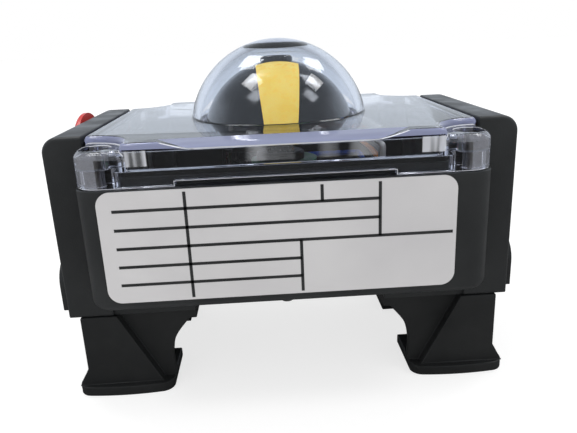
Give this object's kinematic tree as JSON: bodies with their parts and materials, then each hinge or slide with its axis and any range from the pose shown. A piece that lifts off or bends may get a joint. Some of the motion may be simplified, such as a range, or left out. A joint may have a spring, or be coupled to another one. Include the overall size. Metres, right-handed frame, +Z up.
{
  "type": "valve limit switch box",
  "caption": "Limit switch box for a quarter-turn valve actuator: clear screwed cover with a domed position indicator, plain label plate, conduit entry with red plug and slotted feet.",
  "frame": {"origin": "on the drive shaft axis, in the plane the feet stand on", "axes": "+Z up along the shaft, -Y towards the label, +X to the right of someone reading the label"},
  "size_m": [0.1063, 0.072, 0.0782],
  "materials": {
    "housing_plastic": "satin black moulding",
    "foot_plastic": "satin black moulding",
    "label_film": "satin film, bare",
    "steel": "zinc plated",
    "stainless": "turned stainless",
    "brass": "plain",
    "clear_plastic": "clear polished, faint blue",
    "seal_rubber": "matte",
    "red_plastic": "soft sheen",
    "natural_plastic": "natural",
    "cam_red": "plain",
    "cam_green": "plain",
    "black_plastic": "plain",
    "switch_case": "moulded",
    "terminal_plastic": "grey moulding",
    "wire_sheath": "soft sheath",
    "black_gloss": "high gloss",
    "yellow_plastic": "satin yellow"
  },
  "bodies": {
    "box": {"housing": "housing_plastic", "label_plate": "label_film", "foot_front_left": "foot_plastic", "foot_front_right": "foot_plastic", "foot_rear_left": "foot_plastic", "foot_rear_right": "foot_plastic", "foot_screws": "steel", "cover_inserts": "brass", "cover_gasket": "seal_rubber", "shaft_bush": "brass", "shaft_seal": "seal_rubber", "thrust_washer": "natural_plastic", "switch_lower": "switch_case", "switch_upper": "switch_case", "switch_spacer": "natural_plastic", "switch_screws": "steel", "switch_nuts": "steel", "switch_bracket": "steel", "bracket_posts": "steel", "bracket_screws": "steel", "terminal_block": "terminal_plastic", "terminal_screws": "steel", "block_screws": "steel", "switch_wires": "wire_sheath"},
    "cover": {"clear_cover": "clear_plastic", "cover_screws": "steel", "cover_washers": "steel"},
    "rotor": {"drive_shaft": "stainless", "shaft_circlip": "steel", "cam_lower": "cam_red", "cam_upper": "cam_green", "cam_spacer": "black_plastic", "cam_top_ring": "black_plastic", "cam_set_screws": "steel", "indicator_dome": "black_gloss", "indicator_band": "yellow_plastic", "indicator_screw": "black_gloss"},
    "lower_lever": {"lever_lower": "stainless"},
    "upper_lever": {"lever_upper": "stainless"},
    "lower_plunger": {"plunger_lower": "cam_red"},
    "upper_plunger": {"plunger_upper": "cam_red"},
    "plug": {"dust_plug": "red_plastic"}
  },
  "joints": [
    {"name": "shaft_turn", "type": "hinge", "parent": "box", "child": "rotor", "pos_m": [0, 0, 0.03], "axis": [0, 0, 1], "range_deg": [0, 90]},
    {"name": "lower_lever_swing", "type": "hinge", "parent": "box", "child": "lower_lever", "pos_m": [-0.014, 0.0145, 0.0377], "axis": [0, 0, 1], "range_deg": [-6.5, 0]},
    {"name": "upper_lever_swing", "type": "hinge", "parent": "box", "child": "upper_lever", "pos_m": [-0.014, 0.0145, 0.0467], "axis": [0, 0, 1], "range_deg": [0, 6.5]},
    {"name": "lower_plunger_slide", "type": "slide", "parent": "box", "child": "lower_plunger", "axis": [0, 1, 0], "range_m": [-0.00058, 0]},
    {"name": "upper_plunger_slide", "type": "slide", "parent": "box", "child": "upper_plunger", "axis": [0, 1, 0], "range_m": [0, 0.00058]},
    {"name": "cover_lift", "type": "slide", "parent": "box", "child": "cover", "axis": [0, 0, 1], "range_m": [0, 0.05]},
    {"name": "plug_pull", "type": "slide", "parent": "box", "child": "plug", "axis": [-1, 0, 0], "range_m": [0, 0.02]}
  ],
  "couplings": [
    {"joint": "lower_lever_swing", "follows": "shaft_turn", "ratio": -0.0722},
    {"joint": "upper_lever_swing", "follows": "shaft_turn", "ratio": 0.0722},
    {"joint": "lower_plunger_slide", "follows": "shaft_turn", "m_per_rad": -0.000369},
    {"joint": "upper_plunger_slide", "follows": "shaft_turn", "m_per_rad": 0.000369}
  ]
}
